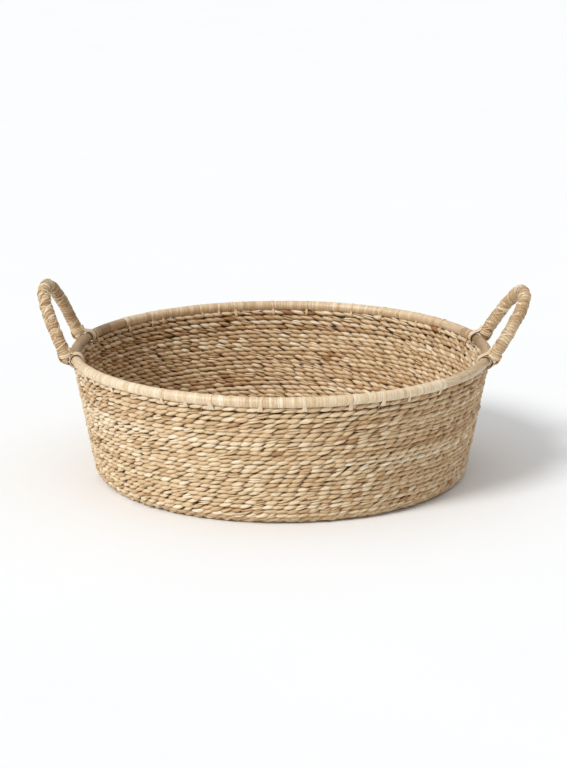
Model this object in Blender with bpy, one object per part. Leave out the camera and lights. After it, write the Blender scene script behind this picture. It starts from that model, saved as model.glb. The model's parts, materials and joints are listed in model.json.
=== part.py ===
"""Low round storage basket of twined seagrass with a bound rim hoop and two swinging hoop handles.

Metres, +Z up, standing on z = 0 and centred on the Z axis. The handles are on the X axis.
"""
import math

import bmesh
import bpy
from mathutils import Matrix, Vector

MM = 0.001
GAP = 0.30 * MM  # clearance between touching pieces

# wall and foot, all on the outer face
FOOT_RADIUS = 221.8 * MM  # where the wall's line would meet the floor
WALL_LEAN = math.radians(10.55)
CORNER_RADIUS = 16.5 * MM
WALL_TOP_Z = 137.9 * MM
ROWS = 27
SEGMENTS = 60  # facets around the wall, with one bar for a pair of stakes behind each

# layers of the wall, as depths in from the outer face
ROW_DEPTH = 2.9 * MM
STAKE_DEPTH = (3.2 * MM, 5.1 * MM)
SHELL_DEPTH = (5.4 * MM, 8.5 * MM)
STAKE_WIDTH = 7.0 * MM
ROW_SLIT = 1.6 * MM  # slit under the top row, for the lacing
LACING_DEPTH = (0.6 * MM, 2.6 * MM)

# floor of the basket
BASE_RADIUS = 207.4 * MM
BASE_LOWER = (0.0, 2.6 * MM)
BASE_SPOKE = (2.9 * MM, 5.1 * MM)
BASE_UPPER = (5.4 * MM, 8.5 * MM)
HUB_RADIUS = 46.0 * MM  # the spokes run together inside this
KNOT_RADIUS = 22.0 * MM
BASE_RIDGES = 5

# rim
RIM_RADIUS = 245.5 * MM
RIM_Z = 147.6 * MM
CORE_RADIUS = 4.55 * MM
BINDING_BORE = 5.3 * MM
BINDING_RADIUS = 6.2 * MM
SPLICE_RADIUS = 6.0 * MM
RIM_STEPS = 60
LEFT_SPLICE = (4, 6)  # steps of bare cane in front of and behind the left handle's middle
RIGHT_SPLICE = (7, 6)
RIM_SIDES = 8
CORE_SIDES = 6
FIRST_TIE = 4  # facet corners from a handle's middle to its nearest tie
TIE_PITCH = 2  # facet corners from one tie to the next
TIE_WIDTH = 3.0 * MM
TIE_THICKNESS = 0.9 * MM

# handles
HANDLE_HALF_SPAN = 60.0 * MM
HANDLE_HEIGHT = 85.5 * MM
HANDLE_POWER = 2.5
HANDLE_CORE_RADIUS = 4.4 * MM
HANDLE_BORE = 4.9 * MM
HANDLE_RADIUS = 7.5 * MM
HANDLE_FOOT = 9.75 * MM
HANDLE_CORE_FOOT = 9.75 * MM
HANDLE_STEPS = 16
# azimuth of its middle, outward lean, and how far it stands outside its hinge line when upright
LEFT_HANDLE = (math.radians(178.0), math.radians(23.6), 9.3 * MM)
RIGHT_HANDLE = (math.radians(0.0), math.radians(32.2), 5.6 * MM)
EYE_BORE = 7.45 * MM
EYE_RADIUS = 9.25 * MM
EYE_HALF_WIDTH = 3.0 * MM
EYE_SIDES = 16

HINGE_REACH = math.sqrt(RIM_RADIUS**2 - HANDLE_HALF_SPAN**2)

COLOURS = {
    "seagrass_outer": ((0.52, 0.36, 0.20), 0.78),
    "seagrass_inner": ((0.40, 0.26, 0.14), 0.82),
    "stake": ((0.36, 0.25, 0.14), 0.80),
    "cane": ((0.60, 0.43, 0.25), 0.55),
    "rattan_peel": ((0.74, 0.57, 0.37), 0.45),
    "tie_peel": ((0.78, 0.63, 0.42), 0.50),
}


def clear_scene():
    for thing in list(bpy.data.objects):
        bpy.data.objects.remove(thing, do_unlink=True)


def material(name):
    found = bpy.data.materials.get(name)
    if found:
        return found
    colour, rough = COLOURS[name]
    made = bpy.data.materials.new(name)
    made.use_nodes = True
    shader = made.node_tree.nodes["Principled BSDF"]
    shader.inputs["Base Color"].default_value = (*colour, 1.0)
    shader.inputs["Roughness"].default_value = rough
    shader.inputs["Metallic"].default_value = 0.0
    made.diffuse_color = (*colour, 1.0)
    return made


def add_node(name, bm, slot, origin=None):
    """Makes an object of bm, whose vertices are in world positions, with its origin at origin."""
    bmesh.ops.recalc_face_normals(bm, faces=bm.faces)
    mesh = bpy.data.meshes.new(name)
    if origin is not None:
        bmesh.ops.translate(bm, verts=bm.verts, vec=-origin)
    bm.to_mesh(mesh)
    bm.free()
    mesh.materials.append(material(slot))
    mesh.shade_smooth()
    node = bpy.data.objects.new(name, mesh)
    if origin is not None:
        node.location = origin
    bpy.context.scene.collection.objects.link(node)
    return node


def skin(bm, rings, closed, capped=True):
    """Joins rings of vertices into a tube. A ring of one vertex is a pole."""
    pairs = list(zip(rings, rings[1:]))
    if closed:
        pairs.append((rings[-1], rings[0]))
    for a, b in pairs:
        count = max(len(a), len(b))
        for i in range(count):
            j = (i + 1) % count
            if len(a) == 1:
                bm.faces.new((a[0], b[i], b[j]))
            elif len(b) == 1:
                bm.faces.new((a[i], b[0], a[j]))
            else:
                bm.faces.new((a[i], b[i], b[j], a[j]))
    if not closed and capped and len(rings[0]) > 1:
        bm.faces.new(list(reversed(rings[0])))
        bm.faces.new(rings[-1])


def lathe(bm, profile, steps, on_axis=False):
    """Turns a closed (radius, z) profile about Z, or one that starts and ends on the axis."""
    rings = []
    for radius, z in profile:
        if radius == 0.0:
            rings.append([bm.verts.new((0.0, 0.0, z))])
            continue
        ring = []
        for k in range(steps):
            angle = 2 * math.pi * k / steps
            ring.append(bm.verts.new((radius * math.cos(angle), radius * math.sin(angle), z)))
        rings.append(ring)
    skin(bm, rings, closed=not on_axis, capped=False)


def corner_centre():
    across = FOOT_RADIUS + CORNER_RADIUS * math.tan(WALL_LEAN) - CORNER_RADIUS / math.cos(WALL_LEAN)
    return across, CORNER_RADIUS


def wall_point(s, depth):
    """A (radius, z) point, s along the outer face from where it leaves the floor, depth inside it."""
    centre_r, centre_z = corner_centre()
    turn = math.pi / 2 - WALL_LEAN
    arc = CORNER_RADIUS * turn
    if s < arc:
        angle = s / CORNER_RADIUS
        reach = CORNER_RADIUS - depth
        return centre_r + reach * math.sin(angle), centre_z - reach * math.cos(angle)
    beyond = s - arc
    normal = (math.cos(WALL_LEAN), -math.sin(WALL_LEAN))
    along = (math.sin(WALL_LEAN), math.cos(WALL_LEAN))
    reach = CORNER_RADIUS - depth
    return (
        centre_r + reach * normal[0] + beyond * along[0],
        centre_z + reach * normal[1] + beyond * along[1],
    )


def wall_length():
    """Length of the outer face from the floor to the top of the top row."""
    arc = CORNER_RADIUS * (math.pi / 2 - WALL_LEAN)
    start_z = wall_point(arc, 0.0)[1]
    return arc + (WALL_TOP_Z - start_z) / math.cos(WALL_LEAN)


def row_span(index):
    """Start and end of a row along the wall. Rows count from 0 at the floor."""
    pitch = wall_length() / ROWS
    low = index * pitch + GAP / 2
    high = (index + 1) * pitch - GAP / 2
    if index == ROWS - 1:
        low += ROW_SLIT
    return low, high


def build_rows():
    for index in range(ROWS):
        low, high = row_span(index)
        middle = (low + high) / 2
        profile = [
            wall_point(middle, 0.0),
            wall_point(high, ROW_DEPTH),
            wall_point(low, ROW_DEPTH),
        ]
        bm = bmesh.new()
        lathe(bm, profile, SEGMENTS)
        add_node(f"wall_row_{index + 1:02d}", bm, "seagrass_outer")


def build_inner_wall():
    """The inside weavers as one shell, and the top inside strand as its own ring above the ties."""
    top_low, top_high = row_span(ROWS - 1)
    shell_top = top_low - ROW_SLIT - 1.2 * MM
    arc = CORNER_RADIUS * (math.pi / 2 - WALL_LEAN)
    stations = [0.05 * arc, 0.35 * arc, 0.68 * arc, arc, (arc + shell_top) / 2, shell_top]
    outer = [wall_point(s, SHELL_DEPTH[0]) for s in stations]
    inner = [wall_point(s, SHELL_DEPTH[1]) for s in reversed(stations)]
    bm = bmesh.new()
    lathe(bm, outer + inner, SEGMENTS)
    add_node("wall_inner_weave", bm, "seagrass_inner")

    bm = bmesh.new()
    profile = [
        wall_point(top_low, SHELL_DEPTH[0]),
        wall_point(top_high, SHELL_DEPTH[0]),
        wall_point((top_low + top_high) / 2, SHELL_DEPTH[1]),
    ]
    lathe(bm, profile, SEGMENTS)
    add_node("wall_top_inner_row", bm, "seagrass_inner")


def build_warp():
    """Spokes that run out from a hub and turn up inside the wall, one bar behind each facet."""
    arc = CORNER_RADIUS * (math.pi / 2 - WALL_LEAN)
    stations = [0.0, 0.33 * arc, 0.66 * arc, arc, wall_length() - 0.5 * MM]
    flat = math.cos(math.pi / SEGMENTS)
    half = STAKE_WIDTH / 2
    low, high = BASE_SPOKE
    bore = KNOT_RADIUS + GAP
    bm = bmesh.new()
    hub = []
    for k in range(SEGMENTS):
        angle = 2 * math.pi * k / SEGMENTS
        x, y = math.cos(angle), math.sin(angle)
        column = []
        for radius, z in ((bore, low), (HUB_RADIUS, low), (HUB_RADIUS, high), (bore, high)):
            column.append(bm.verts.new((radius * x, radius * y, z)))
        hub.append(column)
    for k in range(SEGMENTS):
        here, after = hub[k], hub[(k + 1) % SEGMENTS]
        for i, j in ((0, 1), (2, 3), (3, 0)):
            bm.faces.new((here[i], after[i], after[j], here[j]))
        angle = 2 * math.pi * (k + 0.5) / SEGMENTS
        normal = Vector((math.cos(angle), math.sin(angle), 0.0))
        tangent = Vector((-math.sin(angle), math.cos(angle), 0.0))
        rings = [[here[1], after[1], after[2], here[2]]]
        for s in stations:
            outer = wall_point(s, STAKE_DEPTH[0])
            inner = wall_point(s, STAKE_DEPTH[1])
            ring = []
            for (radius, z), side in ((outer, -1), (outer, 1), (inner, 1), (inner, -1)):
                spot = normal * (radius * flat) + tangent * (side * half)
                ring.append(bm.verts.new((spot.x, spot.y, z)))
            rings.append(ring)
        for a, b in zip(rings, rings[1:]):
            for i in range(4):
                j = (i + 1) % 4
                bm.faces.new((a[i], b[i], b[j], a[j]))
        bm.faces.new(rings[-1])
    add_node("warp_spokes_and_stakes", bm, "stake")


def build_base():
    bm = bmesh.new()
    low, high = BASE_LOWER
    inner = KNOT_RADIUS + GAP
    profile = [(inner, low), (BASE_RADIUS, low), (BASE_RADIUS, high), (inner, high)]
    lathe(bm, profile, SEGMENTS)
    add_node("base_lower_weave", bm, "seagrass_outer")

    bm = bmesh.new()
    low, high = BASE_UPPER
    width = (BASE_RADIUS - inner) / BASE_RIDGES
    profile = [(inner, low), (BASE_RADIUS, low)]
    for ridge in range(BASE_RIDGES):
        edge = BASE_RADIUS - ridge * width
        profile.append((edge, high - 0.8 * MM))
        profile.append((edge - width / 2, high))
    profile.append((inner, high - 0.8 * MM))
    lathe(bm, profile, SEGMENTS)
    add_node("base_upper_weave", bm, "seagrass_inner")

    bm = bmesh.new()
    top = BASE_UPPER[1]
    profile = [
        (0.0, 0.0),
        (KNOT_RADIUS, 0.0),
        (KNOT_RADIUS, top - 1.0 * MM),
        (KNOT_RADIUS * 0.6, top),
        (0.0, top),
    ]
    lathe(bm, profile, 20, on_axis=True)
    add_node("base_centre_knot", bm, "seagrass_outer")


def rim_ring(angle, radius, sides, bm):
    """A ring of vertices round the rim's line at an azimuth."""
    ring = []
    for i in range(sides):
        turn = 2 * math.pi * (i + 0.5) / sides
        reach = RIM_RADIUS + radius * math.cos(turn)
        z = RIM_Z + radius * math.sin(turn)
        ring.append(bm.verts.new((reach * math.cos(angle), reach * math.sin(angle), z)))
    return ring


def open_tube(bm, outer, inner):
    """A tube wall between two lists of rings with the same count, with flat annular ends."""
    skin(bm, outer, closed=False, capped=False)
    skin(bm, inner, closed=False, capped=False)
    for out_ring, in_ring in ((outer[0], inner[0]), (outer[-1], inner[-1])):
        count = len(out_ring)
        for i in range(count):
            j = (i + 1) % count
            bm.faces.new((out_ring[i], in_ring[i], in_ring[j], out_ring[j]))


def rim_sleeve(name, start, end, radius, slot):
    """A sleeve on the hoop from one step of azimuth to another."""
    bm = bmesh.new()
    step = 2 * math.pi / RIM_STEPS
    trim = GAP / 2 / RIM_RADIUS
    angles = [k * step for k in range(start, end + 1)]
    angles[0] += trim
    angles[-1] -= trim
    outer = [rim_ring(a, radius, RIM_SIDES, bm) for a in angles]
    inner = [rim_ring(a, BINDING_BORE, RIM_SIDES, bm) for a in angles]
    open_tube(bm, outer, inner)
    add_node(name, bm, slot)


def build_rim():
    bm = bmesh.new()
    rings = []
    for k in range(RIM_STEPS):
        rings.append(rim_ring(2 * math.pi * k / RIM_STEPS, CORE_RADIUS, CORE_SIDES, bm))
    skin(bm, rings, closed=True)
    add_node("rim_core_hoop", bm, "cane")

    half = RIM_STEPS // 2
    sleeves = (
        ("rim_splice_right", -RIGHT_SPLICE[0], RIGHT_SPLICE[1], SPLICE_RADIUS, "cane"),
        ("rim_binding_rear", RIGHT_SPLICE[1], half - LEFT_SPLICE[1], BINDING_RADIUS, "rattan_peel"),
        ("rim_splice_left", half - LEFT_SPLICE[1], half + LEFT_SPLICE[0], SPLICE_RADIUS, "cane"),
        ("rim_binding_front", half + LEFT_SPLICE[0], RIM_STEPS - RIGHT_SPLICE[0], BINDING_RADIUS, "rattan_peel"),
    )
    for name, start, end, radius, slot in sleeves:
        rim_sleeve(name, start, end, radius, slot)


def facet_radius(radius, angle):
    """Distance from the axis to the wall's facets at an azimuth, where their corners are at radius."""
    step = 2 * math.pi / SEGMENTS
    return radius * math.cos(step / 2) / math.cos(angle % step - step / 2)


def build_lacing():
    """One strip under the top row that rises in a closed loop round the rim at each tie."""
    slit_s = row_span(ROWS - 1)[0] - ROW_SLIT
    low = wall_point(slit_s, ROW_DEPTH)[1] + 0.4 * MM
    high = low + TIE_THICKNESS
    outer = wall_point(slit_s, LACING_DEPTH[0])[0]
    inner = wall_point(slit_s, LACING_DEPTH[1])[0]
    face_out = wall_point(slit_s, 0.0)[0]
    face_in = wall_point(slit_s, SHELL_DEPTH[1])[0]
    rim_out = (BINDING_RADIUS + GAP + TIE_THICKNESS + 0.1 * MM) / math.cos(math.pi / 8)
    rim_in = (BINDING_RADIUS + GAP + 0.1 * MM) / math.cos(math.pi / 8)

    arch = [((face_out + 1.5 * MM, low), (face_out + 0.6 * MM, high))]
    for turn in (0, 45, 90, 135, 180):
        x, z = math.cos(math.radians(turn)), math.sin(math.radians(turn))
        outside = (RIM_RADIUS + rim_out * x, RIM_Z + rim_out * z)
        inside = (RIM_RADIUS + rim_in * x, RIM_Z + rim_in * z)
        arch.append((outside, inside))
    arch.append(((face_in - 2.2 * MM, low), (face_in - 1.2 * MM, high)))

    half_turn = SEGMENTS // 2
    tied = set(range(FIRST_TIE, half_turn - FIRST_TIE + 1, TIE_PITCH))
    tied |= {k + half_turn for k in tied}
    half_width = math.asin(TIE_WIDTH / 2 / outer)
    bm = bmesh.new()
    stations = []
    for k in range(SEGMENTS):
        angle = 2 * math.pi * k / SEGMENTS
        for shift in (-half_width, half_width) if k in tied else (0.0,):
            turn = angle + shift
            x, y = math.cos(turn), math.sin(turn)
            column = []
            for radius, z in ((outer, low), (outer, high), (inner, high), (inner, low)):
                reach = facet_radius(radius, turn)
                column.append(bm.verts.new((reach * x, reach * y, z)))
            stations.append((k, column))
    for (k, here), (after_k, after) in zip(stations, stations[1:] + stations[:1]):
        sides = ((3, 0), (1, 2)) if k == after_k else ((3, 0), (1, 2), (0, 1), (2, 3))
        for i, j in sides:
            bm.faces.new((here[i], after[i], after[j], here[j]))
        if k != after_k:
            continue
        angle = 2 * math.pi * k / SEGMENTS
        out = Vector((math.cos(angle), math.sin(angle), 0.0))
        along = Vector((-math.sin(angle), math.cos(angle), 0.0)) * (TIE_WIDTH / 2)
        rings = [[here[0], after[0], after[1], here[1]]]
        for outside, inside in arch:
            ring = []
            for (radius, z), side in ((outside, -1), (outside, 1), (inside, 1), (inside, -1)):
                spot = out * radius + along * side
                ring.append(bm.verts.new((spot.x, spot.y, z)))
            rings.append(ring)
        rings.append([here[3], after[3], after[2], here[2]])
        for a, b in zip(rings, rings[1:]):
            for i in range(4):
                j = (i + 1) % 4
                bm.faces.new((a[i], b[i], b[j], a[j]))
    add_node("rim_lacing", bm, "tie_peel")


def hoop_points(foot):
    """The hoop's centre line in its own upright frame, as (across, up) points from foot to foot."""
    points = []
    for i in range(HANDLE_STEPS + 1):
        t = math.pi * i / HANDLE_STEPS
        cosine, sine = math.cos(t), math.sin(t)
        across = HANDLE_HALF_SPAN * math.copysign(abs(cosine) ** (2 / HANDLE_POWER), cosine)
        up = HANDLE_HEIGHT * abs(sine) ** (2 / HANDLE_POWER)
        points.append((across, up))
    kept = [p for p in points if p[1] > foot + 4.0 * MM]
    first = (HANDLE_HALF_SPAN, foot)
    last = (-HANDLE_HALF_SPAN, foot)
    return [first, *kept, last]


def handle_rings(bm, foot, radius, sides, offset, place):
    """Rings of vertices along the hoop, moved into the world by place."""
    points = [Vector(p) for p in hoop_points(foot)]
    rings = []
    for i, here in enumerate(points):
        if i in (0, len(points) - 1):
            ahead = Vector((0.0, 1.0 if i == 0 else -1.0))
        else:
            back = (here - points[i - 1]).normalized()
            front = (points[i + 1] - here).normalized()
            ahead = (back + front).normalized()
        normal = Vector((ahead.y, -ahead.x))
        ring = []
        for k in range(sides):
            turn = 2 * math.pi * (k + 0.5) / sides
            flat = here + normal * (radius * math.cos(turn))
            out = offset + radius * math.sin(turn)
            ring.append(bm.verts.new(place @ Vector((out, flat.x, flat.y))))
        rings.append(ring)
    return rings


def build_handle(name, azimuth, lean, offset):
    hinge = Vector((HINGE_REACH * math.cos(azimuth), HINGE_REACH * math.sin(azimuth), RIM_Z))
    upright = Matrix.Translation(hinge) @ Matrix.Rotation(azimuth, 4, "Z")
    leaning = upright @ Matrix.Rotation(lean, 4, "Y")

    bm = bmesh.new()
    rings = handle_rings(bm, HANDLE_CORE_FOOT, HANDLE_CORE_RADIUS, 6, offset, leaning)
    skin(bm, rings, closed=False)
    add_node(f"handle_{name}_core", bm, "cane", hinge)

    bm = bmesh.new()
    outer = handle_rings(bm, HANDLE_FOOT, HANDLE_RADIUS, 8, offset, leaning)
    inner = handle_rings(bm, HANDLE_FOOT, HANDLE_BORE / math.cos(math.pi / 8), 8, offset, leaning)
    open_tube(bm, outer, inner)
    add_node(f"handle_{name}_binding", bm, "seagrass_outer", hinge)

    front = -HANDLE_HALF_SPAN if math.cos(azimuth) > 0 else HANDLE_HALF_SPAN
    for label, middle in (("front", front), ("rear", -front)):
        bm = bmesh.new()
        rings = []
        for k in range(EYE_SIDES):
            turn = 2 * math.pi * k / EYE_SIDES
            ring = []
            for radius, across in (
                (EYE_RADIUS, -EYE_HALF_WIDTH),
                (EYE_RADIUS, EYE_HALF_WIDTH),
                (EYE_BORE, EYE_HALF_WIDTH),
                (EYE_BORE, -EYE_HALF_WIDTH),
            ):
                spot = Vector((radius * math.cos(turn), middle + across, radius * math.sin(turn)))
                ring.append(bm.verts.new(upright @ spot))
            rings.append(ring)
        skin(bm, rings, closed=True)
        add_node(f"handle_{name}_eye_{label}", bm, "tie_peel", hinge)


def main():
    clear_scene()
    build_base()
    build_rows()
    build_inner_wall()
    build_warp()
    build_rim()
    build_lacing()
    build_handle("left", *LEFT_HANDLE)
    build_handle("right", *RIGHT_HANDLE)


main()
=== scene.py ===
import json
import math

import bpy
import numpy as np
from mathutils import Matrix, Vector


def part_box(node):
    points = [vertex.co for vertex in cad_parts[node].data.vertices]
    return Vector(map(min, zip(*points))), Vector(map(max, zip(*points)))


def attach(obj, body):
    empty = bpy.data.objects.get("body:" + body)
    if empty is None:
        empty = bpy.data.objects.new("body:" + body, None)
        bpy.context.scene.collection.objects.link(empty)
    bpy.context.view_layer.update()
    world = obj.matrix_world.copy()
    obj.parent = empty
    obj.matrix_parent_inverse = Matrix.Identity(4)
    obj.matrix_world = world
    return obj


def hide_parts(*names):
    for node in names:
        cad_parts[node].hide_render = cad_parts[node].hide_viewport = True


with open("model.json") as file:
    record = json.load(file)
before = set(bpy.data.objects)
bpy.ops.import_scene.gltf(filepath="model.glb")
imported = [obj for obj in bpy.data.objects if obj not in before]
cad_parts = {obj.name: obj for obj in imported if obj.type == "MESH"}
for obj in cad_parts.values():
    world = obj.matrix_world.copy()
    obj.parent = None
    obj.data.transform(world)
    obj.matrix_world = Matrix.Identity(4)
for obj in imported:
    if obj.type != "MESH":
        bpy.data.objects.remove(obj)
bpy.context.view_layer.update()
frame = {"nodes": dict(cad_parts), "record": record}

MM = 0.001
TAU = 2 * math.pi

# ---------------------------------------------------------------- sizes read from the CAD

CORE_LO, CORE_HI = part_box("rim_core_hoop")
RIM_Z = (CORE_LO.z + CORE_HI.z) / 2
CORE_RADIUS = (CORE_HI.z - CORE_LO.z) / 2
RIM_RADIUS = CORE_HI.x - CORE_RADIUS * math.cos(math.pi / 6)
BINDING_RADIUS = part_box("rim_binding_front")[1].z - RIM_Z
BINDING_RADIUS /= math.cos(math.pi / 8)

ROW_NODES = sorted(name for name in frame["nodes"] if name.startswith("wall_row_"))
ROWS = len(ROW_NODES)
LOW_ROW, HIGH_ROW = 12, 25
LOW_BOX, HIGH_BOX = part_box(ROW_NODES[LOW_ROW]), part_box(ROW_NODES[HIGH_ROW])
WALL_LEAN = math.atan((HIGH_BOX[1].x - LOW_BOX[1].x) / (HIGH_BOX[1].z - LOW_BOX[1].z))
FOOT_RADIUS = 221.8 * MM
CORNER_RADIUS = 16.5 * MM
WALL_TOP_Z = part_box(ROW_NODES[-1])[1].z
WALL_DEPTH = 8.5 * MM
BASE_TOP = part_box("base_upper_weave")[1].z
UPPER_ROUNDS_Z = BASE_TOP - 1.5 * MM
LOWER_ROUNDS_Z = 1.75 * MM

STAKES = 114
ROW_SHIFT = -1 / 3  # of a stroke, from one row to the row below

HINGES = {j["child"]: Vector(j["pos_m"]) for j in frame["record"]["behaviour"]["joints"]}
HALF_SPAN = 60.0 * MM
HANDLE_HEIGHT = 85.5 * MM
HANDLE_POWER = 2.5
HANDLE_OFFSET = {"left": 9.3 * MM, "right": 5.6 * MM}
HANDLE_RADIUS = 7.5 * MM
LEANS = {"left": math.radians(23.6), "right": math.radians(32.2)}
EYE_RADIUS = 9.25 * MM
BARE_CANE_RADIUS = 5.85 * MM
STRIP_THICKNESS = 0.8 * MM
EYE_AZIMUTH = math.asin(HALF_SPAN / RIM_RADIUS)
EYES = np.array([math.atan2(p.y, p.x) + way * EYE_AZIMUTH for p in HINGES.values() for way in (-1, 1)])
LEFT_SPLICE = (144.0, 204.0)  # azimuths, in degrees
RIGHT_SPLICE = (-42.0, 36.0)


# ---------------------------------------------------------------- mesh helpers

def grid_faces(rings, sides, count=1, closed_rings=False):
    """Quads of count tubes, each of rings x sides points, wrapped round their sides."""
    last = rings if closed_rings else rings - 1
    i, j = np.meshgrid(np.arange(last), np.arange(sides), indexing="ij")
    a = i * sides + j
    b = i * sides + (j + 1) % sides
    c = (i + 1) % rings * sides + (j + 1) % sides
    d = (i + 1) % rings * sides + j
    quads = np.stack([a, b, c, d], axis=-1).reshape(-1, 4)
    starts = np.arange(count)[:, None, None] * (rings * sides)
    return (quads[None] + starts).reshape(-1, 4)


def cap_faces(rings, sides, count=1):
    """The end polygons of count tubes."""
    first = np.arange(sides)[::-1]
    last = (rings - 1) * sides + np.arange(sides)
    caps = np.stack([first, last])
    starts = np.arange(count)[:, None, None] * (rings * sides)
    return (caps[None] + starts).reshape(-1, sides)


class Pile:
    """Points, faces and point values gathered for one mesh."""

    def __init__(self):
        self.points, self.faces, self.values, self.uvs = [], [], [], []
        self.size = 0

    def add(self, points, faces, tone, painted_shade_and_scars, uv):
        """points (n, 3), faces a list of (m, k) arrays, tone and deep (n,), uv (n, 2)."""
        count = len(points)
        self.points.append(points)
        self.values.append(np.stack([np.broadcast_to(tone, count), np.broadcast_to(painted_shade_and_scars, count)], -1))
        self.uvs.append(uv)
        self.faces += [f + self.size for f in faces]
        self.size += count

    def tube(self, rings, tone, painted_shade_and_scars, uv, closed=False):
        """rings (r, s, 3), or (n, r, s, 3) for n tubes. tone and deep spread over them, as uv does."""
        shape = rings.shape[:-1]
        count = 1 if rings.ndim == 3 else shape[0]
        r, s = shape[-2:]
        faces = [grid_faces(r, s, count, closed)]
        if not closed:
            faces.append(cap_faces(r, s, count))
        self.add(
            rings.reshape(-1, 3),
            faces,
            np.broadcast_to(tone, shape).reshape(-1),
            np.broadcast_to(painted_shade_and_scars, shape).reshape(-1),
            np.broadcast_to(uv, (*shape, 2)).reshape(-1, 2),
        )

    def build(self, name, material):
        points = np.concatenate(self.points).astype(np.float32)
        values = np.concatenate(self.values).astype(np.float32)
        uvs = np.concatenate(self.uvs).astype(np.float32)
        mesh = bpy.data.meshes.new(name)
        mesh.vertices.add(len(points))
        mesh.vertices.foreach_set("co", points.reshape(-1))
        corners = np.concatenate([f.reshape(-1) for f in self.faces]).astype(np.int32)
        sizes = np.concatenate([np.full(len(f), f.shape[1]) for f in self.faces]).astype(np.int32)
        starts = np.concatenate([[0], np.cumsum(sizes)[:-1]]).astype(np.int32)
        mesh.loops.add(len(corners))
        mesh.loops.foreach_set("vertex_index", corners)
        mesh.polygons.add(len(sizes))
        mesh.polygons.foreach_set("loop_start", starts)
        mesh.polygons.foreach_set("use_smooth", np.ones(len(sizes), bool))
        mesh.update(calc_edges=True)
        for label, column in (("tone", 0), ("painted_shade_and_scars", 1)):
            layer = mesh.attributes.new(label, "FLOAT", "POINT")
            layer.data.foreach_set("value", values[:, column].copy())
        layer = mesh.attributes.new("fibre", "FLOAT_VECTOR", "POINT")
        vectors = np.concatenate([uvs, values[:, :1] * 37.0], axis=1)
        layer.data.foreach_set("vector", vectors.astype(np.float32).reshape(-1))
        mesh.materials.append(material)
        piece = bpy.data.objects.new(name, mesh)
        bpy.context.scene.collection.objects.link(piece)
        return piece


def smooth_noise(rng, count, knots):
    """Smooth values from about -1 to 1 at count places round a ring, through random knots."""
    values = rng.uniform(-1, 1, knots)
    values = np.append(values, values[0])
    places = np.linspace(0, knots, count, endpoint=False)
    low = np.minimum(np.floor(places).astype(int), len(values) - 2)
    share = places - low
    share = share * share * (3 - 2 * share)
    return values[low] * (1 - share) + values[low + 1] * share


# ---------------------------------------------------------------- materials

def new_material(name):
    made = bpy.data.materials.new(name)
    made.use_nodes = True
    tree = made.node_tree
    shader = tree.nodes["Principled BSDF"]
    return made, tree, shader


def linked(tree, kind, inputs=(), **settings):
    """A node with its settings set and its inputs linked or given values."""
    node = tree.nodes.new(kind)
    for key, value in settings.items():
        setattr(node, key, value)
    for key, value in inputs:
        if isinstance(value, bpy.types.NodeSocket):
            tree.links.new(value, node.inputs[key])
        else:
            node.inputs[key].default_value = value
    return node


def ramp(tree, factor, stops):
    node = linked(tree, "ShaderNodeValToRGB", [("Fac", factor)])
    node.color_ramp.interpolation = "LINEAR"
    elements = node.color_ramp.elements
    while len(elements) < len(stops):
        elements.new(0.5)
    for element, (place, colour) in zip(elements, stops):
        element.position = place
        element.color = (*srgb(colour), 1.0)
    return node.outputs["Color"]


def srgb(colour):
    """Linear values of an 8-bit sRGB colour."""
    out = []
    for channel in colour:
        c = channel / 255
        out.append(c / 12.92 if c <= 0.04045 else ((c + 0.055) / 1.055) ** 2.4)
    return tuple(out)


def maths(tree, operation, a, b=0.0, c=0.0, clamp=False):
    node = linked(tree, "ShaderNodeMath", [(0, a), (1, b), (2, c)], operation=operation, use_clamp=clamp)
    return node.outputs[0]


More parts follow.
